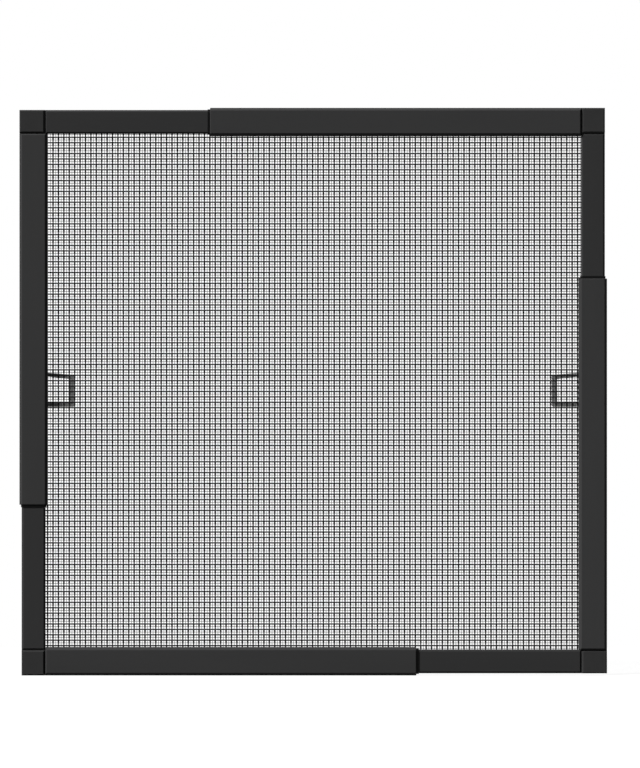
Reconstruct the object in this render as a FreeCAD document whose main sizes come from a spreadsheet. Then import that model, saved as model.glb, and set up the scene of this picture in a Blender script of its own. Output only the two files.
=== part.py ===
import FreeCAD, Part
import os
import re
import Sketcher

# Adjustable window screen: four identical L-shaped units set round in a pinwheel. A unit is a corner
# key with a wide rail on one arm and a narrow rail on the other, and each narrow rail slides in the
# wide rail of the next unit. Seen from the front, X is right, Z is up and Y runs to the back.
doc = FreeCAD.newDocument("window_screen")

SIZES = {
    "frame_width": (530, "overall width"),
    "frame_height": (512, "overall height"),
    "outer_width": (25.4, "face of the wide rail"),
    "outer_depth": (12.7, "front to back of the wide rail"),
    "outer_wall": (1.5, "wall of the wide rail"),
    "outer_bevel": (2.4, "bevel on the front edges of the wide rail"),
    "outer_length": (334.5, "length of the wide rail"),
    "lip_wall": (1.8, "lip of the wide rail that the mesh turns over"),
    "inner_length": (290, "length of the narrow rail"),
    "inner_wall": (1.3, "wall of the narrow rail"),
    "inner_bevel": (1.7, "bevel on the front edges of the narrow rail"),
    "inner_lip": (1.6, "lip of the narrow rail that the mesh turns over"),
    "end_bevel": (1, "bevel on the front edge of a rail's end at a corner"),
    "mouth_bevel": (0.5, "bevel on the front edge of the wide rail's open end"),
    "slide_gap": (0.4, "narrow rail to wide rail, all round"),
    "mesh_level": (9.5, "front face of the wide rail to the mesh"),
    "groove_depth": (3.5, "spline groove below the mesh"),
    "spline_diameter": (3.6, "spline cord"),
    "spline_gap": (0.12, "spline to groove and hem"),
    "seat": (23.5, "outer edge of the frame to the rail ends at a corner"),
    "corner_front": (1, "front face of the wide rail to that of the corner"),
    "corner_bevel": (1.2, "bevel round the front of the corner"),
    "corner_cap": (2, "height of the corner's raised front"),
    "corner_groove": (0.9, "raised front of the corner to the rail ends"),
    "core_wall": (2.4, "wall round the hollows in the back of the corner"),
    "core_rib": (1.6, "rib between those hollows"),
    "core_depth": (4.5, "depth of those hollows"),
    "tongue_length": (28, "corner tongue inside a rail"),
    "tongue_gap": (0.2, "corner tongue to rail, all round"),
    "tongue_lead": (1.5, "bevel round the tip of a tongue"),
    "collar_length": (2.3, "guide collar along the rail"),
    "collar_wall": (0.4, "wall of the guide collar"),
    "collar_gap": (0.2, "guide collar to narrow rail"),
    "film": (0.35, "thickness of the mesh sheet"),
    "fit_gap": (0.5, "mesh and splines to corners and rail ends"),
    "mesh_pitch": (4.885, "strand to strand, both ways"),
    "warp_width": (1.4, "upright strand"),
    "weft_width": (1.1, "level strand"),
    "strand_rise": (0.3, "thickness of a strand"),
    "warp_start": (4.56, "wide rail to the first upright strand"),
    "weft_start": (0.92, "wide rail to the first level strand"),
    "strand_end": (0.4, "wide rail to the strands' ends"),
    "mesh_rim": (2.6, "wide rail to the opening that the strands cross"),
    "tab_height": (28.9, "pull tab along the rail"),
    "tab_rise": (0.75, "middle of the pull tab above the middle of the frame"),
    "tab_reach": (24.2, "pull tab beyond the rail"),
    "tab_leg": (3.8, "leg of the pull tab"),
    "tab_tip": (5, "tip bar of the pull tab"),
    "tab_thickness": (1.8, "front to back of the pull tab"),
    "tab_flare": (2.2, "rise of the upper leg from its tip to the rail"),
    "tab_round": (2, "outer corners of the pull tab's tip"),
    "tab_gap": (0.2, "pull tab to groove, spline and mesh"),
}
sheet = doc.addObject("Spreadsheet::Sheet", "Sizes")
for row, (alias, (size, note)) in enumerate(SIZES.items(), start=1):
    sheet.set(f"A{row}", note)
    sheet.set(f"B{row}", str(size))
    sheet.setAlias(f"B{row}", alias)
doc.recompute()

# Levels and edges that several pieces share. Across a rail they are measured from the outer edge of
# the frame, and through it from the front face of the wide rail.
SLANT = "(2 - sqrt(2))"
CAVITY_BEVEL = f"(outer_bevel - outer_wall * {SLANT})"
CAVITY_BACK = "(outer_depth - outer_wall)"
GROOVE_WIDTH = "(spline_diameter + film + 2 * spline_gap)"
GROOVE_FLOOR = "(mesh_level - groove_depth)"
OUTER_LIP = "(outer_width - lip_wall)"
OUTER_GROOVE = f"({OUTER_LIP} - {GROOVE_WIDTH})"
CAVITY_SIDE = f"({OUTER_GROOVE} - outer_wall)"
CAVITY_STEP = f"({GROOVE_FLOOR} - outer_wall)"
OUTER_HEM = f"({OUTER_LIP} - film)"
INNER_EDGE = "(outer_wall + slide_gap)"
INNER_SIGHT = "(outer_width - outer_wall - slide_gap)"
INNER_BACK = f"({CAVITY_BACK} - slide_gap)"
INNER_SIDE = f"({CAVITY_SIDE} - slide_gap)"
INNER_LIP = f"({INNER_SIDE} - inner_lip)"
INNER_GROOVE = f"({INNER_LIP} - {GROOVE_WIDTH})"
INNER_HEM = f"({INNER_LIP} - film)"
HOLLOW_START = f"({INNER_EDGE} + inner_wall)"
HOLLOW_SIDE = f"({INNER_GROOVE} - inner_wall)"
HOLLOW_BACK = f"({INNER_BACK} - inner_wall)"
SPLINE_LEVEL = f"({GROOVE_FLOOR} + spline_gap + spline_diameter / 2)"
OUTER_END = "(seat + outer_length)"
CORNER_CLEAR = "(seat + fit_gap)"

# The four units, in turn anticlockwise from the bottom left: the side of the wide rail, the side of the
# narrow rail, the corner between them, and the side of the frame that the narrow rail runs along.
UNITS = [
    ("bottom", "left", "bottom_left", "frame_height"),
    ("right", "bottom", "bottom_right", "frame_width"),
    ("top", "right", "top_right", "frame_height"),
    ("left", "top", "top_left", "frame_width"),
]


def bound(text):
    """Turn the names of sizes in an expression into references to the sheet."""
    return re.sub(r"[a-z_]+", lambda word: f"Sizes.{word[0]}" if word[0] in SIZES else word[0], text)


def new_body(label, unit):
    """Start a sub-part with its origin at the outer front corner of a unit, turned as the unit is."""
    body = doc.addObject("PartDesign::Body", label)
    body.Label = label
    body.Placement.Rotation = FreeCAD.Rotation(FreeCAD.Vector(0, 1, 0), -90 * unit)
    across = "frame_width / 2" if unit in (1, 2) else "-frame_width / 2"
    up = "frame_height / 2" if unit in (2, 3) else "-frame_height / 2"
    body.setExpression("Placement.Base.x", bound(across))
    body.setExpression("Placement.Base.y", bound("-outer_depth / 2"))
    body.setExpression("Placement.Base.z", bound(up))
    return body


def new_sketch(body, plane, offset):
    """Attach a sketch to one of the body's own origin planes, offset along the plane's normal."""
    sketch = body.newObject("Sketcher::SketchObject", f"{body.Label}_sketch")
    planes = [feature for feature in body.Origin.OriginFeatures if feature.Role == plane]
    sketch.AttachmentSupport = (planes[0], [""])
    sketch.MapMode = "FlatFace"
    sketch.setExpression("AttachmentOffset.Base.z", bound(offset))
    return sketch


def draw_polygon(sketch, points):
    """Draw a closed outline through points, each a pair of expressions that its place is bound to."""
    places = []
    for pair in points:
        places.append(FreeCAD.Vector(*[sketch.evalExpression(bound(text)) for text in pair]))
    first = sketch.GeometryCount
    for start, end in zip(places, places[1:] + places[:1]):
        sketch.addGeometry(Part.LineSegment(start, end))
    for index, (pair, place) in enumerate(zip(points, places)):
        line = first + index
        following = first + (index + 1) % len(points)
        sketch.addConstraint(Sketcher.Constraint("Coincident", line, 2, following, 1))
        for kind, text, distance in zip(("DistanceX", "DistanceY"), pair, place):
            datum = sketch.addConstraint(Sketcher.Constraint(kind, -1, 1, line, 1, distance))
            sketch.setExpression(f"Constraints[{datum}]", bound(text))


def draw_rectangle(sketch, left, low, right, high):
    """Draw a rectangle between two corners given as expressions."""
    draw_polygon(sketch, [(left, low), (right, low), (right, high), (left, high)])


def draw_circle(sketch, across, up, diameter):
    """Draw a circle whose centre and diameter are expressions."""
    centre = FreeCAD.Vector(*[sketch.evalExpression(bound(text)) for text in (across, up)])
    radius = sketch.evalExpression(bound(diameter)) / 2
    circle = sketch.addGeometry(Part.Circle(centre, FreeCAD.Vector(0, 0, 1), radius))
    for kind, text, distance in (("DistanceX", across, centre.x), ("DistanceY", up, centre.y)):
        datum = sketch.addConstraint(Sketcher.Constraint(kind, -1, 1, circle, 3, distance))
        sketch.setExpression(f"Constraints[{datum}]", bound(text))
    datum = sketch.addConstraint(Sketcher.Constraint("Diameter", circle, 2 * radius))
    sketch.setExpression(f"Constraints[{datum}]", bound(diameter))


def extrude(body, sketch, length, to_back=False, kind="Pad"):
    """Pad or pocket a sketch. Sketches on the face of the frame are padded to the back with to_back."""
    feature = body.newObject(f"PartDesign::{kind}", f"{body.Label}_{kind.lower()}")
    feature.Profile = sketch
    feature.Reversed = to_back
    feature.setExpression("Length", bound(length))
    doc.recompute()
    return feature


def bevel_face(body, feature, size, reach):
    """Bevel all round the flat face of a feature that lies furthest the way reach measures."""
    faces = feature.Shape.Faces
    furthest = max(range(len(faces)), key=lambda index: reach(faces[index].CenterOfMass))
    chamfer = body.newObject("PartDesign::Chamfer", f"{body.Label}_bevel")
    chamfer.Base = (feature, [f"Face{furthest + 1}"])
    chamfer.setExpression("Size", bound(size))
    doc.recompute()
    return chamfer


def repeat(body, feature, role, spacing, count):
    """Repeat a feature along one of the body's axes."""
    pattern = body.newObject("PartDesign::LinearPattern", f"{body.Label}_pattern")
    axes = [axis for axis in body.Origin.OriginFeatures if axis.Role == role]
    pattern.Direction = (axes[0], [""])
    pattern.Mode = "Spacing"
    pattern.setExpression("Offset", bound(spacing))
    pattern.setExpression("Occurrences", bound(count))
    pattern.Originals = [feature]
    body.Tip = pattern
    doc.recompute()


def make_outer_rail(label, unit):
    """Wide rail: a bevelled box for the narrow rail to slide in, with the spline groove beside it."""
    section = [
        ("outer_bevel", "0"),
        ("outer_width - outer_bevel", "0"),
        ("outer_width", "outer_bevel"),
        ("outer_width", "mesh_level"),
        (OUTER_LIP, "mesh_level"),
        (OUTER_LIP, GROOVE_FLOOR),
        (OUTER_GROOVE, GROOVE_FLOOR),
        (OUTER_GROOVE, "outer_depth"),
        ("0", "outer_depth"),
        ("0", "outer_bevel"),
    ]
    cavity = [
        (f"outer_wall + {CAVITY_BEVEL}", "outer_wall"),
        (f"outer_width - outer_wall - {CAVITY_BEVEL}", "outer_wall"),
        ("outer_width - outer_wall", f"outer_wall + {CAVITY_BEVEL}"),
        ("outer_width - outer_wall", CAVITY_STEP),
        (CAVITY_SIDE, CAVITY_STEP),
        (CAVITY_SIDE, CAVITY_BACK),
        ("outer_wall", CAVITY_BACK),
        ("outer_wall", f"outer_wall + {CAVITY_BEVEL}"),
    ]
    body = new_body(label, unit)
    sketch = new_sketch(body, "YZ_Plane", "seat")
    for outline in (section, cavity):
        draw_polygon(sketch, [(through, across) for across, through in outline])
    extrude(body, sketch, "outer_length")
    ends = new_sketch(body, "XY_Plane", "0")
    draw_polygon(ends, [("seat", "0"), ("seat + end_bevel", "0"), ("seat", "end_bevel")])
    draw_polygon(ends, [(OUTER_END, "0"), (OUTER_END, "mouth_bevel"), (f"{OUTER_END} - mouth_bevel", "0")])
    extrude(body, ends, "outer_width", to_back=True, kind="Pocket")
    return body


def make_inner_rail(label, unit):
    """Narrow rail: a box and a spline groove behind a front plate, all within the wide rail's cavity."""
    section = [
        (f"{INNER_EDGE} + inner_bevel", INNER_EDGE),
        (f"{INNER_SIGHT} - inner_bevel", INNER_EDGE),
        (INNER_SIGHT, f"{INNER_EDGE} + inner_bevel"),
        (INNER_SIGHT, f"{CAVITY_STEP} - slide_gap"),
        (f"{INNER_SIGHT} - inner_wall", f"{CAVITY_STEP} - slide_gap"),
        (f"{INNER_SIGHT} - inner_wall", HOLLOW_START),
        (INNER_SIDE, HOLLOW_START),
        (INNER_SIDE, "mesh_level"),
        (INNER_LIP, "mesh_level"),
        (INNER_LIP, GROOVE_FLOOR),
        (INNER_GROOVE, GROOVE_FLOOR),
        (INNER_GROOVE, INNER_BACK),
        (INNER_EDGE, INNER_BACK),
        (INNER_EDGE, f"{INNER_EDGE} + inner_bevel"),
    ]
    hollow = [
        (HOLLOW_START, HOLLOW_START),
        (f"{INNER_SIDE} - inner_wall", HOLLOW_START),
        (f"{INNER_SIDE} - inner_wall", f"{GROOVE_FLOOR} - inner_wall"),
        (HOLLOW_SIDE, f"{GROOVE_FLOOR} - inner_wall"),
        (HOLLOW_SIDE, HOLLOW_BACK),
        (HOLLOW_START, HOLLOW_BACK),
    ]
    body = new_body(label, unit)
    sketch = new_sketch(body, "XY_Plane", "seat")
    for outline in (section, hollow):
        draw_polygon(sketch, outline)
    extrude(body, sketch, "inner_length")
    end = new_sketch(body, "YZ_Plane", "0")
    draw_polygon(end, [
        (INNER_EDGE, "seat"),
        (f"{INNER_EDGE} + end_bevel", "seat"),
        (INNER_EDGE, "seat + end_bevel"),
    ])
    extrude(body, end, "outer_width", to_back=True, kind="Pocket")
    return body


def make_corner(label, unit):
    """Corner key: a raised front on a block that is cored at the back, and a tongue for each rail."""
    body = new_body(label, unit)
    cap = new_sketch(body, "XZ_Plane", "-corner_front")
    draw_rectangle(cap, INNER_EDGE, "0", "seat - corner_groove", "seat - corner_groove")
    pad = extrude(body, cap, "corner_cap", to_back=True)
    bevel_face(body, pad, "corner_bevel", lambda centre: -centre.y)
    block = new_sketch(body, "XZ_Plane", "-corner_front - corner_cap")
    draw_rectangle(block, INNER_EDGE, "0", "seat", "seat")
    extrude(body, block, f"{INNER_BACK} - corner_front - corner_cap", to_back=True)
    core_width = f"((seat - {INNER_EDGE} - 2 * core_wall - core_rib) / 2)"
    core_height = "((seat - 2 * core_wall - core_rib) / 2)"
    cores = new_sketch(body, "XZ_Plane", f"-{INNER_BACK}")
    for left in (f"{INNER_EDGE} + core_wall", f"seat - core_wall - {core_width}"):
        for low in ("core_wall", f"seat - core_wall - {core_height}"):
            draw_rectangle(cores, left, low, f"{left} + {core_width}", f"{low} + {core_height}")
    extrude(body, cores, "core_depth", to_back=True, kind="Pocket")
    wide_tongue = new_sketch(body, "YZ_Plane", "seat")
    draw_rectangle(
        wide_tongue,
        f"outer_wall + {CAVITY_BEVEL} + tongue_gap",
        "outer_wall + tongue_gap",
        f"{CAVITY_BACK} - tongue_gap",
        f"{CAVITY_SIDE} - tongue_gap",
    )
    pad = extrude(body, wide_tongue, "tongue_length")
    bevel_face(body, pad, "tongue_lead", lambda centre: centre.x)
    narrow_tongue = new_sketch(body, "XY_Plane", "seat")
    draw_rectangle(
        narrow_tongue,
        f"{HOLLOW_START} + tongue_gap",
        f"{HOLLOW_START} + tongue_gap",
        f"{HOLLOW_SIDE} - tongue_gap",
        f"{HOLLOW_BACK} - tongue_gap",
    )
    pad = extrude(body, narrow_tongue, "tongue_length")
    bevel_face(body, pad, "tongue_lead", lambda centre: centre.z)
    return body


def make_guide_collar(label, unit):
    """Bush on the mouth of a wide rail, round the narrow rail and open where the mesh passes."""
    inside = f"({INNER_EDGE} - collar_gap)"
    inside_far = f"({INNER_SIGHT} + collar_gap)"
    inside_bevel = f"(inner_bevel + collar_gap * {SLANT})"
    inside_back = f"({INNER_BACK} + collar_gap)"
    outside = f"({inside} - collar_wall)"
    outside_far = f"({inside_far} + collar_wall)"
    outside_bevel = f"({inside_bevel} + collar_wall * {SLANT})"
    outside_back = f"({inside_back} + collar_wall)"
    section = [
        (INNER_GROOVE, outside_back),
        (outside, outside_back),
        (outside, f"{outside} + {outside_bevel}"),
        (f"{outside} + {outside_bevel}", outside),
        (f"{outside_far} - {outside_bevel}", outside),
        (outside_far, f"{outside} + {outside_bevel}"),
        (outside_far, "mesh_level - strand_rise"),
        (inside_far, "mesh_level - strand_rise"),
        (inside_far, f"{inside} + {inside_bevel}"),
        (f"{inside_far} - {inside_bevel}", inside),
        (f"{inside} + {inside_bevel}", inside),
        (inside, f"{inside} + {inside_bevel}"),
        (inside, inside_back),
        (INNER_GROOVE, inside_back),
    ]
    body = new_body(label, unit)
    sketch = new_sketch(body, "YZ_Plane", OUTER_END)
    draw_polygon(sketch, [(through, across) for across, through in section])
    extrude(body, sketch, "collar_length")
    return body


def make_outer_spline(label, unit):
    """Cord in the groove of a wide rail, from end to end."""
    body = new_body(label, unit)
    sketch = new_sketch(body, "YZ_Plane", CORNER_CLEAR)
    draw_circle(sketch, SPLINE_LEVEL, f"({OUTER_GROOVE} + {OUTER_HEM}) / 2", "spline_diameter")
    extrude(body, sketch, "outer_length - 2 * fit_gap")
    return body


def make_inner_spline(label, unit, side):
    """Cord in the groove of a narrow rail, along the length that stands out of the wide rail."""
    body = new_body(label, unit)
    sketch = new_sketch(body, "XY_Plane", CORNER_CLEAR)
    draw_circle(sketch, f"({INNER_GROOVE} + {INNER_HEM}) / 2", SPLINE_LEVEL, "spline_diameter")
    extrude(body, sketch, f"{side} - {OUTER_END} - seat - 2 * fit_gap")
    return body


def turned(unit, along, inward):
    """Place a point of a unit on the face of the frame, measured from its bottom left corner."""
    places = [
        (along, inward),
        (f"frame_width - ({inward})", along),
        (f"frame_width - ({along})", f"frame_height - ({inward})"),
        (inward, f"frame_height - ({along})"),
    ]
    return places[unit]


def make_screen_mesh(label):
    """Mesh: a thin sheet hemmed into the grooves, with two layers of strands across its opening."""
    body = new_body(label, 0)
    sheet_edge = new_sketch(body, "XZ_Plane", "-mesh_level")
    outline = []
    for unit in range(len(UNITS)):
        outline.append(turned(unit, INNER_HEM, CORNER_CLEAR))
        outline.append(turned(unit, CORNER_CLEAR, CORNER_CLEAR))
        outline.append(turned(unit, CORNER_CLEAR, OUTER_HEM))
        outline.append(turned(unit, f"{OUTER_END} + fit_gap", OUTER_HEM))
        outline.append(turned(unit, f"{OUTER_END} + fit_gap", INNER_HEM))
    draw_polygon(sheet_edge, outline)
    extrude(body, sheet_edge, "film", to_back=True)

    hems = new_sketch(body, "XZ_Plane", "-mesh_level - film")
    for unit, (_, _, _, side) in enumerate(UNITS):
        stop = f"({side} - {OUTER_END} - fit_gap)"
        wide_hem = (CORNER_CLEAR, OUTER_HEM, OUTER_END, OUTER_LIP)
        narrow_hem = (INNER_HEM, CORNER_CLEAR, INNER_LIP, stop)
        for near, low, far, high in (wide_hem, narrow_hem):
            corners = [(near, low), (far, low), (far, high), (near, high)]
            draw_polygon(hems, [turned(unit, along, inward) for along, inward in corners])
    extrude(body, hems, "groove_depth - spline_gap + film")

    warp_first = "(outer_width + warp_start)"
    weft_first = "(outer_width + weft_start)"
    strand_from = "(outer_width + strand_end)"
    warp_count = f"(floor((frame_width - {strand_from} - warp_width / 2 - {warp_first}) / mesh_pitch) + 1)"
    weft_count = f"(floor((frame_height - {strand_from} - weft_width / 2 - {weft_first}) / mesh_pitch) + 1)"

    opening = new_sketch(body, "XZ_Plane", "-mesh_level")
    rim = "(outer_width + mesh_rim)"
    draw_rectangle(opening, rim, rim, f"frame_width - {rim}", f"frame_height - {rim}")
    extrude(body, opening, "film", kind="Pocket")

    warp = new_sketch(body, "XZ_Plane", "-mesh_level")
    draw_rectangle(
        warp,
        f"{warp_first} - warp_width / 2",
        strand_from,
        f"{warp_first} + warp_width / 2",
        f"frame_height - {strand_from}",
    )
    repeat(body, extrude(body, warp, "strand_rise"), "X_Axis", "mesh_pitch", warp_count)

    weft = new_sketch(body, "XZ_Plane", "-mesh_level - film")
    draw_rectangle(
        weft,
        strand_from,
        f"{weft_first} - weft_width / 2",
        f"frame_width - {strand_from}",
        f"{weft_first} + weft_width / 2",
    )
    repeat(body, extrude(body, weft, "strand_rise", to_back=True), "Z_Axis", "mesh_pitch", weft_count)
    return body


def make_pull_tab(label, unit, upward):
    """Pull tab: a flat loop behind the mesh, about half-way up, with its foot in the spline's groove."""
    front = "(mesh_level + film + strand_rise + tab_gap)"
    foot_front = f"({SPLINE_LEVEL} + spline_diameter / 2 + tab_gap)"
    root = f"({OUTER_GROOVE} + tab_gap)"
    tip = "(outer_width + tab_reach)"
    near = f"(frame_height / 2 + {upward} * (tab_rise - tab_height / 2))"
    far = f"(frame_height / 2 + {upward} * (tab_rise + tab_height / 2))"
    body = new_body(label, unit)
    loop = new_sketch(body, "XZ_Plane", f"-{front}")
    draw_polygon(loop, [(near, root), (f"{far} + {upward} * tab_flare", root), (far, tip), (near, tip)])
    hole_near = f"({near} + {upward} * tab_leg)"
    hole_far = f"({far} - {upward} * tab_leg)"
    draw_polygon(loop, [
        (hole_near, "outer_width"),
        (f"{hole_far} + {upward} * tab_flare", "outer_width"),
        (hole_far, f"{tip} - tab_tip"),
        (hole_near, f"{tip} - tab_tip"),
    ])
    pad = extrude(body, loop, "tab_thickness", to_back=True)
    tip_place = pad.evalExpression(bound(tip))
    corners = []
    for index, edge in enumerate(pad.Shape.Edges, start=1):
        at_tip = abs(edge.CenterOfMass.z - tip_place) < 1e-6
        if at_tip and edge.BoundBox.XLength < 1e-6:
            corners.append(f"Edge{index}")
    rounding = body.newObject("PartDesign::Fillet", f"{label}_fillet")
    rounding.Base = (pad, corners)
    rounding.setExpression("Radius", bound("tab_round"))
    doc.recompute()
    foot = new_sketch(body, "XZ_Plane", f"-{foot_front}")
    draw_rectangle(foot, near, root, far, f"{OUTER_HEM} - tab_gap")
    extrude(body, foot, f"{front} + tab_thickness - {foot_front}", to_back=True)
    return body


parts = []
for unit, (wide_side, narrow_side, corner, side) in enumerate(UNITS):
    parts.append(make_corner(f"corner_{corner}", unit))
    parts.append(make_outer_rail(f"outer_rail_{wide_side}", unit))
    parts.append(make_guide_collar(f"guide_collar_{wide_side}", unit))
    parts.append(make_outer_spline(f"outer_spline_{wide_side}", unit))
    parts.append(make_inner_rail(f"inner_rail_{narrow_side}", unit))
    parts.append(make_inner_spline(f"inner_spline_{narrow_side}", unit, side))
parts.append(make_screen_mesh("screen_mesh"))
parts.append(make_pull_tab("pull_tab_right", 1, 1))
parts.append(make_pull_tab("pull_tab_left", 3, -1))
doc.recompute()

for item in doc.Objects:
    if "Invalid" in item.State or "Error" in item.State:
        raise RuntimeError(f"{item.Label} failed: {item.State}")
for part in parts:
    if part.Shape.isNull() or not part.Shape.isValid() or len(part.Shape.Solids) != 1:
        raise RuntimeError(f"{part.Label} isn't one valid solid")

os.makedirs("parts", exist_ok=True)
for part in parts:
    part.Shape.exportStep(f"parts/{part.Label}.step")
    box = part.Shape.BoundBox
    extents = f"{box.XLength:.2f} x {box.YLength:.2f} x {box.ZLength:.2f} mm"
    print(f"{part.Label}: {part.Shape.Volume:.0f} mm3, {extents}")
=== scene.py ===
import math

import bpy
import numpy as np
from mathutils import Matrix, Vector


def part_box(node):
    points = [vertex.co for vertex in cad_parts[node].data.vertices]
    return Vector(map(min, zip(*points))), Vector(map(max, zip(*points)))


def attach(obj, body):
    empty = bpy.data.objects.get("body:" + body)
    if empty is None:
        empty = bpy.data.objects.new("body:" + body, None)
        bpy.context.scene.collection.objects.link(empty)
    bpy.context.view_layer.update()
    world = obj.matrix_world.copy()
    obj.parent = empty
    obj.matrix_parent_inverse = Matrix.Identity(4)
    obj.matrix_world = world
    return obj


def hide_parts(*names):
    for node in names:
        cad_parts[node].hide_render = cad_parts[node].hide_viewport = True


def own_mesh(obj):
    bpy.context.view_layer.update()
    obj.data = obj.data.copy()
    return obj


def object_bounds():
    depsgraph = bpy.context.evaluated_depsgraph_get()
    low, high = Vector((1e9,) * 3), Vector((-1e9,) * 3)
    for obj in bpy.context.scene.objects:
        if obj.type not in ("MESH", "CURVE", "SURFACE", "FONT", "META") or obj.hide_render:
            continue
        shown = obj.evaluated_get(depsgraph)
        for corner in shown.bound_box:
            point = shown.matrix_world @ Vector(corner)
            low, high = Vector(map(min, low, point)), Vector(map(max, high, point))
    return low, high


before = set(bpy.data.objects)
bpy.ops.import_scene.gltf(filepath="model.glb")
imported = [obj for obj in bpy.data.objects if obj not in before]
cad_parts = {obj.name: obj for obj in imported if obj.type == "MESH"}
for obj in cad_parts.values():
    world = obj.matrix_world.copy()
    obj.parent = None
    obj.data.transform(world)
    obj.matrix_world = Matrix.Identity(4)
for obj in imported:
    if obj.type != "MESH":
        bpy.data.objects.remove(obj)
cad_low, cad_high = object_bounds()

# The view: the photograph is taken square on, from far enough away that the sides of the rails don't
# show. So it has a long lens, nearly level with the middle of the frame.
MM = 0.001
SENSOR, LENS = 36, 250
VIEW_HEIGHT = 692.4 * MM
VIEW_X, VIEW_Z = 6.1 * MM, 6.9 * MM
front_face = cad_low.y
scene = bpy.context.scene
scene.view_settings.view_transform = "Standard"
bpy.ops.object.camera_add(
    location=(VIEW_X, front_face - VIEW_HEIGHT * LENS / SENSOR, VIEW_Z),
    rotation=(math.radians(90), 0, 0),
)
scene.camera = bpy.context.object
scene.camera.data.sensor_width = SENSOR
scene.camera.data.lens = LENS

# Wide rails: hollow aluminium extrusions with a satin black powder coat. They are cut square, and
# the die leaves them with slightly rounded edges and faint lines along their length.
WIDE_COAT = ((0.0279, 0.0279, 0.0281, 1), (0.0311, 0.0311, 0.0313, 1))
WIDE_EDGE_RADIUS = 0.22 * MM
SIDES = ("bottom", "top", "left", "right")
UPRIGHT_SIDES = ("left", "right")


def surface_group():
    """Node group for a fine surface: a mottled colour, its roughness, and the height of its grain."""
    group = bpy.data.node_groups.new("fine_surface", "ShaderNodeTree")
    for name, kind in (
        ("Place", "NodeSocketVector"), ("Grain", "NodeSocketFloat"), ("Mottle", "NodeSocketFloat"),
        ("Dark", "NodeSocketColor"), ("Pale", "NodeSocketColor"),
        ("Smooth", "NodeSocketFloat"), ("Rough", "NodeSocketFloat"),
    ):
        group.interface.new_socket(name, in_out="INPUT", socket_type=kind)
    for name, kind in (
        ("Colour", "NodeSocketColor"), ("Roughness", "NodeSocketFloat"), ("Height", "NodeSocketFloat"),
    ):
        group.interface.new_socket(name, in_out="OUTPUT", socket_type=kind)
    nodes, links = group.nodes, group.links
    given = nodes.new("NodeGroupInput")
    result = nodes.new("NodeGroupOutput")
    grain = nodes.new("ShaderNodeTexNoise")
    grain.inputs["Detail"].default_value = 3
    links.new(given.outputs["Place"], grain.inputs["Vector"])
    links.new(given.outputs["Grain"], grain.inputs["Scale"])
    mottle = nodes.new("ShaderNodeTexNoise")
    mottle.inputs["Detail"].default_value = 4
    links.new(given.outputs["Place"], mottle.inputs["Vector"])
    links.new(given.outputs["Mottle"], mottle.inputs["Scale"])
    grain_share = 0.4
    both = nodes.new("ShaderNodeMath")
    both.operation = "MULTIPLY_ADD"
    both.inputs[1].default_value = grain_share
    links.new(grain.outputs["Fac"], both.inputs[0])
    links.new(mottle.outputs["Fac"], both.inputs[2])
    spread = nodes.new("ShaderNodeMapRange")
    spread.inputs["From Min"].default_value = 0.45
    spread.inputs["From Max"].default_value = 0.95
    links.new(both.outputs["Value"], spread.inputs["Value"])
    colour = nodes.new("ShaderNodeMix")
    colour.data_type = "RGBA"
    links.new(spread.outputs["Result"], colour.inputs["Factor"])
    links.new(given.outputs["Dark"], colour.inputs["A"])
    links.new(given.outputs["Pale"], colour.inputs["B"])
    links.new(colour.outputs["Result"], result.inputs["Colour"])
    shine = nodes.new("ShaderNodeMix")
    links.new(spread.outputs["Result"], shine.inputs["Factor"])
    links.new(given.outputs["Smooth"], shine.inputs["A"])
    links.new(given.outputs["Rough"], shine.inputs["B"])
    links.new(shine.outputs["Result"], result.inputs["Roughness"])
    links.new(grain.outputs["Fac"], result.inputs["Height"])
    return group


fine_surface = surface_group()


def finish_material(name, colours, roughness, grain, mottle, relief, shine, stretch=(1, 1, 1)):
    """Material of a moulded or coated surface: the fine surface, with its grain as relief.

    The colours are a dark and a pale one, and the roughness is given for each of the two.
    """
    material = bpy.data.materials.new(name)
    material.use_nodes = True
    nodes, links = material.node_tree.nodes, material.node_tree.links
    principled = nodes["Principled BSDF"]
    principled.inputs["Specular IOR Level"].default_value = shine
    place = nodes.new("ShaderNodeTexCoord")
    mapping = nodes.new("ShaderNodeMapping")
    mapping.inputs["Scale"].default_value = stretch
    links.new(place.outputs["Object"], mapping.inputs["Vector"])
    surface = nodes.new("ShaderNodeGroup")
    surface.node_tree = fine_surface
    links.new(mapping.outputs["Vector"], surface.inputs["Place"])
    for socket, value in (
        ("Grain", grain), ("Mottle", mottle), ("Dark", colours[0]), ("Pale", colours[1]),
        ("Smooth", roughness[0]), ("Rough", roughness[1]),
    ):
        surface.inputs[socket].default_value = value
    bump = nodes.new("ShaderNodeBump")
    bump.inputs["Strength"].default_value = 0.35
    bump.inputs["Distance"].default_value = relief
    links.new(surface.outputs["Height"], bump.inputs["Height"])
    links.new(surface.outputs["Colour"], principled.inputs["Base Color"])
    links.new(surface.outputs["Roughness"], principled.inputs["Roughness"])
    links.new(bump.outputs["Normal"], principled.inputs["Normal"])
    return material


def rail_coat(name, side, colours, roughness, die_lines):
    """Powder coat of one rail, with its grain drawn out into lines along the rail."""
    stretch = (1, 1, die_lines) if side in UPRIGHT_SIDES else (die_lines, 1, 1)
    return finish_material(
        f"{name}_{side}", colours, roughness,
        grain=1400, mottle=40, relief=0.02 * MM, shine=0.03, stretch=stretch,
    )


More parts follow.
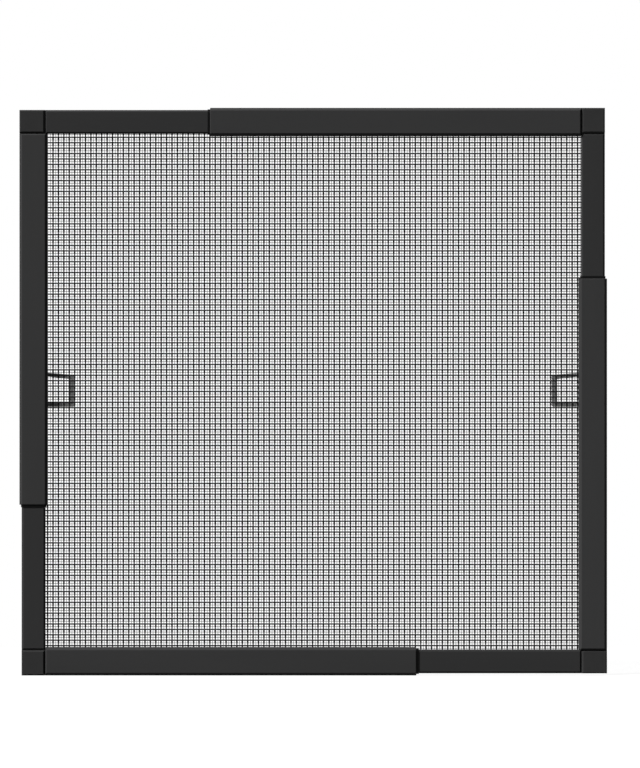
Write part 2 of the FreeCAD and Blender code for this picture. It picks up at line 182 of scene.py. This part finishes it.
def dress(node, material, edge_radius):
    """Give a CAD piece its material, and round its edges by a small radius as the real ones are."""
    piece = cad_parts[node]
    piece.data.materials.clear()
    piece.data.materials.append(material)
    weld = piece.modifiers.new("joined_faces", "WELD")
    weld.merge_threshold = 0.002 * MM
    flat = piece.modifiers.new("whole_faces", "DECIMATE")
    flat.decimate_type = "DISSOLVE"
    flat.angle_limit = math.radians(0.5)
    soft = piece.modifiers.new("soft_edges", "BEVEL")
    soft.width = edge_radius
    soft.segments = 2
    soft.limit_method = "ANGLE"
    soft.angle_limit = math.radians(25)
    soft.harden_normals = True


for side in SIDES:
    coat = rail_coat("wide_rail_coat", side, WIDE_COAT, roughness=(0.5, 0.62), die_lines=0.12)
    dress(f"outer_rail_{side}", coat, WIDE_EDGE_RADIUS)

# Narrow rails: smaller extrusions in the same coat, painted a little darker than the wide rails all over
#  as painted shade.
NARROW_COAT_PAINTED_SHADE = ((0.0232, 0.0232, 0.0233, 1), (0.0258, 0.0258, 0.0260, 1))
NARROW_EDGE_RADIUS = 0.15 * MM
for side in SIDES:
    coat = rail_coat("narrow_rail_coat", side, NARROW_COAT_PAINTED_SHADE, roughness=(0.45, 0.6), die_lines=0.06)
    dress(f"inner_rail_{side}", coat, NARROW_EDGE_RADIUS)

# Corner keys: injection-moulded black plastic with a fine spark-eroded grain. Their tongues are
# pushed into the cut ends of the two rails that meet there.
CORNER_EDGE_RADIUS = 0.2 * MM


def grey(level):
    """A neutral colour."""
    return (level, level, level, 1)


# Their colour is a little darker than the wide rails' coat: painted shade, like the narrow rails.
corner_plastic = finish_material(
    "corner_plastic", (grey(0.0230), grey(0.0256)), roughness=(0.55, 0.7),
    grain=2600, mottle=90, relief=0.03 * MM, shine=0.03,
)
for corner in ("bottom_left", "bottom_right", "top_right", "top_left"):
    dress(f"corner_{corner}", corner_plastic, CORNER_EDGE_RADIUS)

# Guide collars: thin moulded bushes in a slippery black plastic, pressed on to the mouths of the wide
# rails so that the narrow rails slide without scratching.
COLLAR_EDGE_RADIUS = 0.12 * MM
collar_plastic = finish_material(
    "collar_plastic", (grey(0.002), grey(0.0035)), roughness=(0.5, 0.65),
    grain=2000, mottle=120, relief=0.015 * MM, shine=0.05,
)
for side in SIDES:
    dress(f"guide_collar_{side}", collar_plastic, COLLAR_EDGE_RADIUS)

# Splines: soft black rubber cord with ridges along it, rolled into the grooves over the edge of the
# mesh to hold it.
SPLINE_RIDGES = 12
VALLEY_SHARE = 0.9
BODY_OF_SIDE = {
    "outer": {"bottom": "bottom_left", "right": "bottom_right", "top": "top_right", "left": "top_left"},
    "inner": {"left": "bottom_left", "bottom": "bottom_right", "right": "top_right", "top": "top_left"},
}
spline_rubber = finish_material(
    "spline_rubber", (grey(0.006), (0.012, 0.012, 0.0115, 1)), roughness=(0.6, 0.8),
    grain=1800, mottle=150, relief=0.03 * MM, shine=0.12,
)


def start_mesh(name):
    """Name the primitive that was just added, and open it for modelling with all of it selected."""
    made = bpy.context.object
    made.name = made.data.name = name
    bpy.ops.object.mode_set(mode="EDIT")
    bpy.ops.mesh.select_all(action="SELECT")
    return made


def pick(piece, chosen):
    """Open a piece for modelling, with the vertices that chosen is true for selected.

    The edges and faces between those vertices are selected with them.
    """
    chosen = np.asarray(chosen, bool)
    mesh = piece.data
    ends = np.empty(len(mesh.edges) * 2, np.int32)
    mesh.edges.foreach_get("vertices", ends)
    corners = np.empty(len(mesh.loops), np.int32)
    mesh.loops.foreach_get("vertex_index", corners)
    first = np.empty(len(mesh.polygons), np.int32)
    mesh.polygons.foreach_get("loop_start", first)
    mesh.vertices.foreach_set("select", chosen)
    mesh.edges.foreach_set("select", chosen[ends].reshape(-1, 2).all(axis=1))
    faces = np.logical_and.reduceat(chosen[corners], first) if len(first) else np.empty(0, bool)
    mesh.polygons.foreach_set("select", faces)
    bpy.ops.object.mode_set(mode="EDIT")


for kind, bodies in BODY_OF_SIDE.items():
    for side, body in bodies.items():
        node = f"{kind}_spline_{side}"
        low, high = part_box(node)
        middle, size = (low + high) / 2, high - low
        upright = side in UPRIGHT_SIDES
        length = size.z if upright else size.x
        bpy.ops.object.select_all(action="DESELECT")
        bpy.ops.mesh.primitive_circle_add(
            vertices=2 * SPLINE_RIDGES, radius=size.y / 2, fill_type="NGON",
            location=(0, 0, -length / 2),
        )
        bpy.ops.object.transform_apply(location=True)
        cord = start_mesh(f"ribbed_{node}")
        bpy.ops.object.mode_set(mode="OBJECT")
        pick(cord, np.arange(len(cord.data.vertices)) % 2 == 1)
        bpy.ops.transform.resize(value=(VALLEY_SHARE, VALLEY_SHARE, 1), center_override=(0, 0, 0))
        bpy.ops.mesh.select_all(action="SELECT")
        bpy.ops.mesh.extrude_region_move(TRANSFORM_OT_translate={"value": (0, 0, length)})
        bpy.ops.mesh.select_all(action="SELECT")
        bpy.ops.mesh.normals_make_consistent(inside=False)
        bpy.ops.object.mode_set(mode="OBJECT")
        if not upright:
            cord.rotation_euler = (0, math.radians(90), 0)
        cord.location = middle
        bpy.ops.object.transform_apply(location=True, rotation=True)
        bpy.ops.object.shade_smooth_by_angle(angle=math.radians(40))
        cord.data.materials.append(spline_rubber)
        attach(cord, body)
        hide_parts(node)

# Insect mesh: black coated glass-fibre strands, woven over and under each other, with a fine thread
# between each two. It lies on the lips of the rails and is tucked into their grooves. The level strands
# are a left and a right half, the upright ones a lower and an upper, each with the rails that hold it.
PITCH = 4.885 * MM
HALF_PITCH = PITCH / 2
STRAND_THICKNESS, STRAND_SIDES = 0.42 * MM, 6
RISE = STRAND_THICKNESS / 2
THREAD_WIDTH, THREAD_THICKNESS, THREAD_SIDES = 0.43 * MM, 0.16 * MM, 4
CLOTH_LEVEL = front_face + 9.925 * MM
AXIS = {"X": 0, "Z": 2}

insect_mesh = finish_material(
    "insect_mesh", (grey(0.002), grey(0.006)), roughness=(0.4, 0.6),
    grain=2500, mottle=60, relief=0.02 * MM, shine=0.1,
)


def towards(along, length_way, across_way, through=0.0):
    """A step along the strands, across them and through the cloth, as X, Y and Z."""
    return (length_way, through, across_way) if along == "X" else (across_way, through, length_way)


def strand_ring(name, along, width, thickness, sides):
    """Ring of a strand's own section at the origin, widest across the strand, open for modelling."""
    bpy.ops.object.select_all(action="DESELECT")
    quarter = math.radians(90)
    turn = (quarter, 0, quarter) if along == "X" else (0, 0, quarter)
    bpy.ops.mesh.primitive_circle_add(vertices=sides, radius=0.5, rotation=turn)
    bpy.ops.object.transform_apply(rotation=True)
    strand = start_mesh(name)
    bpy.ops.transform.resize(value=towards(along, 1, width, thickness), center_override=(0, 0, 0))
    return strand


def draw_out(along, length_way, through, wider=1.0):
    """Draw a strand out from its open end, and make the new end wider or narrower."""
    step = towards(along, length_way, 0, through)
    bpy.ops.mesh.extrude_edges_move(TRANSFORM_OT_translate={"value": step})
    bpy.ops.transform.resize(value=towards(along, 1, wider, 1), center_override=(0, 0, 0))


def set_in_row(piece, step, count, merge=False):
    """Repeat a piece in a row, and make the row one mesh."""
    row = piece.modifiers.new("row", "ARRAY")
    row.use_relative_offset = False
    row.use_constant_offset = True
    row.constant_offset_displace = step
    row.count = count
    row.use_merge_vertices = merge
    row.merge_threshold = 0.01 * MM
    bpy.ops.object.modifier_apply(modifier=row.name)


def weave(name, along, width, count, length, origin):
    """All strands and threads that run one way, over a field larger than the cloth."""
    waist_at, waist_share = 1.2 * MM, 0.62
    spare_periods = 2
    periods = math.ceil(length / PITCH / 2) + spare_periods
    strands = strand_ring(name, along, width, STRAND_THICKNESS, STRAND_SIDES)
    bpy.ops.transform.translate(value=(0, -RISE, 0))
    for rise in (RISE, -RISE):
        if along == "Z":
            part_way = waist_at / HALF_PITCH
            draw_out(along, waist_at, rise * part_way, waist_share)
            draw_out(along, HALF_PITCH - waist_at, rise * (1 - part_way), 1 / waist_share)
        else:
            draw_out(along, HALF_PITCH, rise)
        draw_out(along, HALF_PITCH, rise)
    bpy.ops.object.mode_set(mode="OBJECT")
    set_in_row(strands, towards(along, 2 * PITCH, 0), periods, merge=True)
    bpy.ops.object.mode_set(mode="EDIT")
    bpy.ops.mesh.select_all(action="SELECT")
    bpy.ops.mesh.duplicate_move(TRANSFORM_OT_translate={"value": towards(along, -PITCH, PITCH)})
    bpy.ops.object.mode_set(mode="OBJECT")
    set_in_row(strands, towards(along, 0, 2 * PITCH), count // 2)

    threads = strand_ring(f"{name}_threads", along, THREAD_WIDTH, THREAD_THICKNESS, THREAD_SIDES)
    bpy.ops.transform.translate(value=towards(along, 0, HALF_PITCH))
    whole_length = towards(along, 2 * PITCH * periods, 0)
    bpy.ops.mesh.extrude_edges_move(TRANSFORM_OT_translate={"value": whole_length})
    bpy.ops.object.mode_set(mode="OBJECT")
    set_in_row(threads, towards(along, 0, PITCH), count - 1)

    strands.select_set(True)
    bpy.context.view_layer.objects.active = strands
    bpy.ops.object.join()
    strands.location = origin
    bpy.ops.object.transform_apply(location=True)
    return strands


def places(piece):
    """The piece's vertices, one row each."""
    found = np.empty(len(piece.data.vertices) * 3, np.float32)
    piece.data.vertices.foreach_get("co", found)
    return found.reshape(-1, 3)


def within(piece, along, span):
    """Which of the piece's vertices lie inside a span across the strands."""
    spots = places(piece)[:, 2 - AXIS[along]]
    return (spots > span[0]) & (spots < span[1])


def cut(piece, chosen, along, at, keep_above):
    """Cut the chosen strands off square at a place along them, and close their ends."""
    pick(piece, chosen)
    bpy.ops.mesh.bisect(
        plane_co=towards(along, at, 0), plane_no=towards(along, 1, 0), use_fill=True,
        clear_inner=keep_above, clear_outer=not keep_above,
    )
    bpy.ops.object.mode_set(mode="OBJECT")


def tuck(piece, along, span, fold, keep_above):
    """Fold the ends of the strands in a span forwards, down into the groove."""
    hinge = towards(along, fold, 0, CLOTH_LEVEL)
    touch = 0.001 * MM
    pick(piece, within(piece, along, span))
    bpy.ops.mesh.bisect(plane_co=hinge, plane_no=towards(along, 1, 0))
    bpy.ops.object.mode_set(mode="OBJECT")
    spots = places(piece)[:, AXIS[along]]
    beyond = spots < fold - touch if keep_above else spots > fold + touch
    pick(piece, beyond & within(piece, along, span))
    turn = math.radians(90 if keep_above else -90)
    bpy.ops.transform.rotate(
        value=-turn if along == "X" else turn, orient_axis="Z" if along == "X" else "X",
        center_override=hinge,
    )
    bpy.ops.object.mode_set(mode="OBJECT")


def between_strands(place, start):
    """Move a place across the strands to the middle between a strand and the thread beside it."""
    return start + (math.floor((place - start) / HALF_PITCH) + 0.5) * HALF_PITCH


def take_up(piece):
    """Make a piece the active one, and the only one selected."""
    bpy.ops.object.select_all(action="DESELECT")
    piece.select_set(True)
    bpy.context.view_layer.objects.active = piece


# Where the strands lie, measured in from the frame's edges: the first one seen beside a wide rail, the
# folds over the two kinds of lip, and places just past a corner, a wide rail's lip and its mouth.
LEVEL_START, LEVEL_WIDTH, LEVEL_COUNT = 26.56 * MM, 1.21 * MM, 98
UPRIGHT_START, UPRIGHT_WIDTH, UPRIGHT_COUNT = 29.93 * MM, 1.54 * MM, 102
FOLD_WIDE, FOLD_NARROW, TUCK = 23.42 * MM, 15.73 * MM, 3.2 * MM
CORNER_CLEAR, LIP_CLEAR, STEP = 24 * MM, 26.5 * MM, 358.5 * MM
HIDDEN_STRANDS = 2
RUN_IN = 8 * PITCH
WIDTH, HEIGHT = cad_high.x - cad_low.x, cad_high.z - cad_low.z

# Each zone of the cloth: how far across the frame its strands lie, and their lower and upper ends. An end
# is an edge of the frame and how far in from it the strand is folded, or a place where it just stops.
level_zones = [
    (0, CORNER_CLEAR, (STEP, None), (WIDTH - CORNER_CLEAR, None)),
    (CORNER_CLEAR, HEIGHT - STEP, (0, FOLD_NARROW), (WIDTH, FOLD_WIDE)),
    (HEIGHT - STEP, STEP, (0, FOLD_WIDE), (WIDTH, FOLD_WIDE)),
    (STEP, HEIGHT - CORNER_CLEAR, (0, FOLD_WIDE), (WIDTH, FOLD_NARROW)),
    (HEIGHT - CORNER_CLEAR, HEIGHT, (CORNER_CLEAR, None), (WIDTH - STEP, None)),
]
upright_zones = [
    (0, CORNER_CLEAR, (CORNER_CLEAR, None), (HEIGHT - STEP, None)),
    (CORNER_CLEAR, LIP_CLEAR, (0, FOLD_WIDE), (HEIGHT - STEP, None)),
    (LIP_CLEAR, WIDTH - STEP, (0, FOLD_WIDE), (HEIGHT, FOLD_NARROW)),
    (WIDTH - STEP, STEP, (0, FOLD_WIDE), (HEIGHT, FOLD_WIDE)),
    (STEP, WIDTH - CORNER_CLEAR, (0, FOLD_NARROW), (HEIGHT, FOLD_WIDE)),
    (WIDTH - CORNER_CLEAR, WIDTH, (STEP, None), (HEIGHT - CORNER_CLEAR, None)),
]
level_halves = (("left_weft", "bottom_left", False), ("right_weft", "bottom_right", True))
upright_halves = (("lower_warp", "bottom_left", False), ("upper_warp", "top_left", True))

low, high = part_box("screen_mesh")
lower_left = np.array([cad_low.x, 0, cad_low.z])
for name, along, width, start, count, zones, halves in (
    ("level_strands", "X", LEVEL_WIDTH, LEVEL_START, LEVEL_COUNT, level_zones, level_halves),
    ("upright_strands", "Z", UPRIGHT_WIDTH, UPRIGHT_START, UPRIGHT_COUNT, upright_zones, upright_halves),
):
    axis = AXIS[along]
    across = 2 - axis
    length, crossing, phase = (WIDTH, UPRIGHT_START, 0) if along == "X" else (HEIGHT, LEVEL_START, PITCH)
    origin = lower_left + np.array(
        towards(along, crossing - RUN_IN + phase, start - HIDDEN_STRANDS * PITCH, CLOTH_LEVEL)
    )
    strands = weave(name, along, width, count, length, origin)
    for near, far, low_end, high_end in zones:
        span = [lower_left[across] + between_strands(place, start) for place in (near, far)]
        for (end, fold), keep_above in ((low_end, True), (high_end, False)):
            inwards = 1 if keep_above else -1
            stop = end if fold is None else end + inwards * (fold - TUCK)
            cut(strands, within(strands, along, span), along, lower_left[axis] + stop, keep_above)
            if fold is not None:
                tuck(strands, along, span, lower_left[axis] + end + inwards * fold, keep_above)
    bpy.ops.object.shade_smooth_by_angle(angle=math.radians(70))
    strands.data.materials.append(insect_mesh)

    take_up(strands)
    bpy.ops.object.duplicate()
    for half, (half_name, body, keep_above) in zip((strands, bpy.context.object), halves):
        half.name = half.data.name = half_name
        take_up(half)
        cut(half, np.ones(len(half.data.vertices), bool), along, 0.0, keep_above)
        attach(half, body)
        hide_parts("screen_mesh")
        flat = (high.x - low.x, high.z - low.z)
        if along == "X":
            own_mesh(half)
            flat = (flat[0] / 2, flat[1])
        else:
            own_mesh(half)
            flat = (flat[0], flat[1] / 2)

# Pull tabs: moulded grey loops whose feet are held in the grooves at half height, behind the mesh.
# Their edges are rounded for the fingers.
TAB_EDGE_RADIUS = 0.45 * MM
# The tabs' grey is lighter than the real plastic: painted light that makes up for the shade of the mesh
# and rails.
tab_plastic = finish_material(
    "tab_plastic", (grey(0.24), grey(0.27)), roughness=(0.5, 0.65),
    grain=2200, mottle=90, relief=0.03 * MM, shine=0.15,
)
for side in UPRIGHT_SIDES:
    dress(f"pull_tab_{side}", tab_plastic, TAB_EDGE_RADIUS)

# The room: a pale floor that the frame stands on, a large soft lamp at the upper left in front, and
# weaker ones above and behind. The floor ends a little way behind the frame, where the bottom rail
# still hides its edge, so that the white room shows through the mesh.
FLOOR_FRONT, FLOOR_BACK, FLOOR_WIDTH = -6.4, 0.5, 14
FLOOR_PAINT, FLOOR_GLOW, FLOOR_BOUNCE = 0.1, 0.86, 0.12
ROOM_FILL = 0.04


def seen_by_eye(nodes, links):
    """Socket that is 1 for what is seen straight, in a reflection or through glass, else 0."""
    path = nodes.new("ShaderNodeLightPath")
    mirrored = nodes.new("ShaderNodeMath")
    mirrored.operation = "MAXIMUM"
    links.new(path.outputs["Is Camera Ray"], mirrored.inputs[0])
    links.new(path.outputs["Is Glossy Ray"], mirrored.inputs[1])
    through = nodes.new("ShaderNodeMath")
    through.operation = "MAXIMUM"
    links.new(mirrored.outputs["Value"], through.inputs[0])
    links.new(path.outputs["Is Transmission Ray"], through.inputs[1])
    return through.outputs["Value"]


bpy.ops.object.select_all(action="DESELECT")
bpy.ops.mesh.primitive_plane_add(size=1, location=(0, (FLOOR_FRONT + FLOOR_BACK) / 2, cad_low.z))
floor = bpy.context.object
floor.name = "floor"
floor.scale = (FLOOR_WIDTH, FLOOR_BACK - FLOOR_FRONT, 1)
bpy.ops.object.transform_apply(location=True, scale=True)
floor_paint = bpy.data.materials.new("floor_paint")
floor_paint.use_nodes = True
nodes, links = floor_paint.node_tree.nodes, floor_paint.node_tree.links
nodes.remove(nodes["Principled BSDF"])
bounce = nodes.new("ShaderNodeBsdfDiffuse")
bounce.inputs["Color"].default_value = grey(FLOOR_BOUNCE)
paint = nodes.new("ShaderNodeBsdfDiffuse")
paint.inputs["Color"].default_value = grey(FLOOR_PAINT)
glow = nodes.new("ShaderNodeEmission")
glow.inputs["Strength"].default_value = FLOOR_GLOW
pale = nodes.new("ShaderNodeAddShader")
links.new(paint.outputs["BSDF"], pale.inputs[0])
links.new(glow.outputs["Emission"], pale.inputs[1])
mixed = nodes.new("ShaderNodeMixShader")
links.new(seen_by_eye(nodes, links), mixed.inputs["Fac"])
links.new(bounce.outputs["BSDF"], mixed.inputs[1])
links.new(pale.outputs["Shader"], mixed.inputs[2])
links.new(mixed.outputs["Shader"], nodes["Material Output"].inputs["Surface"])
floor.data.materials.append(floor_paint)

for name, strength, softness, place in (
    ("key_lamp", 6.9, 14, (-0.62, -0.415, 0.664)),
    ("top_lamp", 0.8, 60, (0.0, 0.25, 1.0)),
    ("back_lamp", 3.0, 40, (0.35, 0.8, 0.5)),
):
    bpy.ops.object.light_add(type="SUN", location=place)
    lamp = bpy.context.object
    lamp.name = name
    lamp.data.energy = strength
    lamp.data.angle = math.radians(softness)
    lamp.rotation_euler = lamp.location.to_track_quat("Z", "Y").to_euler()

scene.world = bpy.data.worlds.new("white_room")
scene.world.use_nodes = True
nodes, links = scene.world.node_tree.nodes, scene.world.node_tree.links
room = nodes["Background"]
room.inputs["Color"].default_value = grey(1)
level = nodes.new("ShaderNodeMapRange")
level.inputs["To Min"].default_value = ROOM_FILL
level.inputs["To Max"].default_value = 1.0
links.new(seen_by_eye(nodes, links), level.inputs["Value"])
links.new(level.outputs["Result"], room.inputs["Strength"])
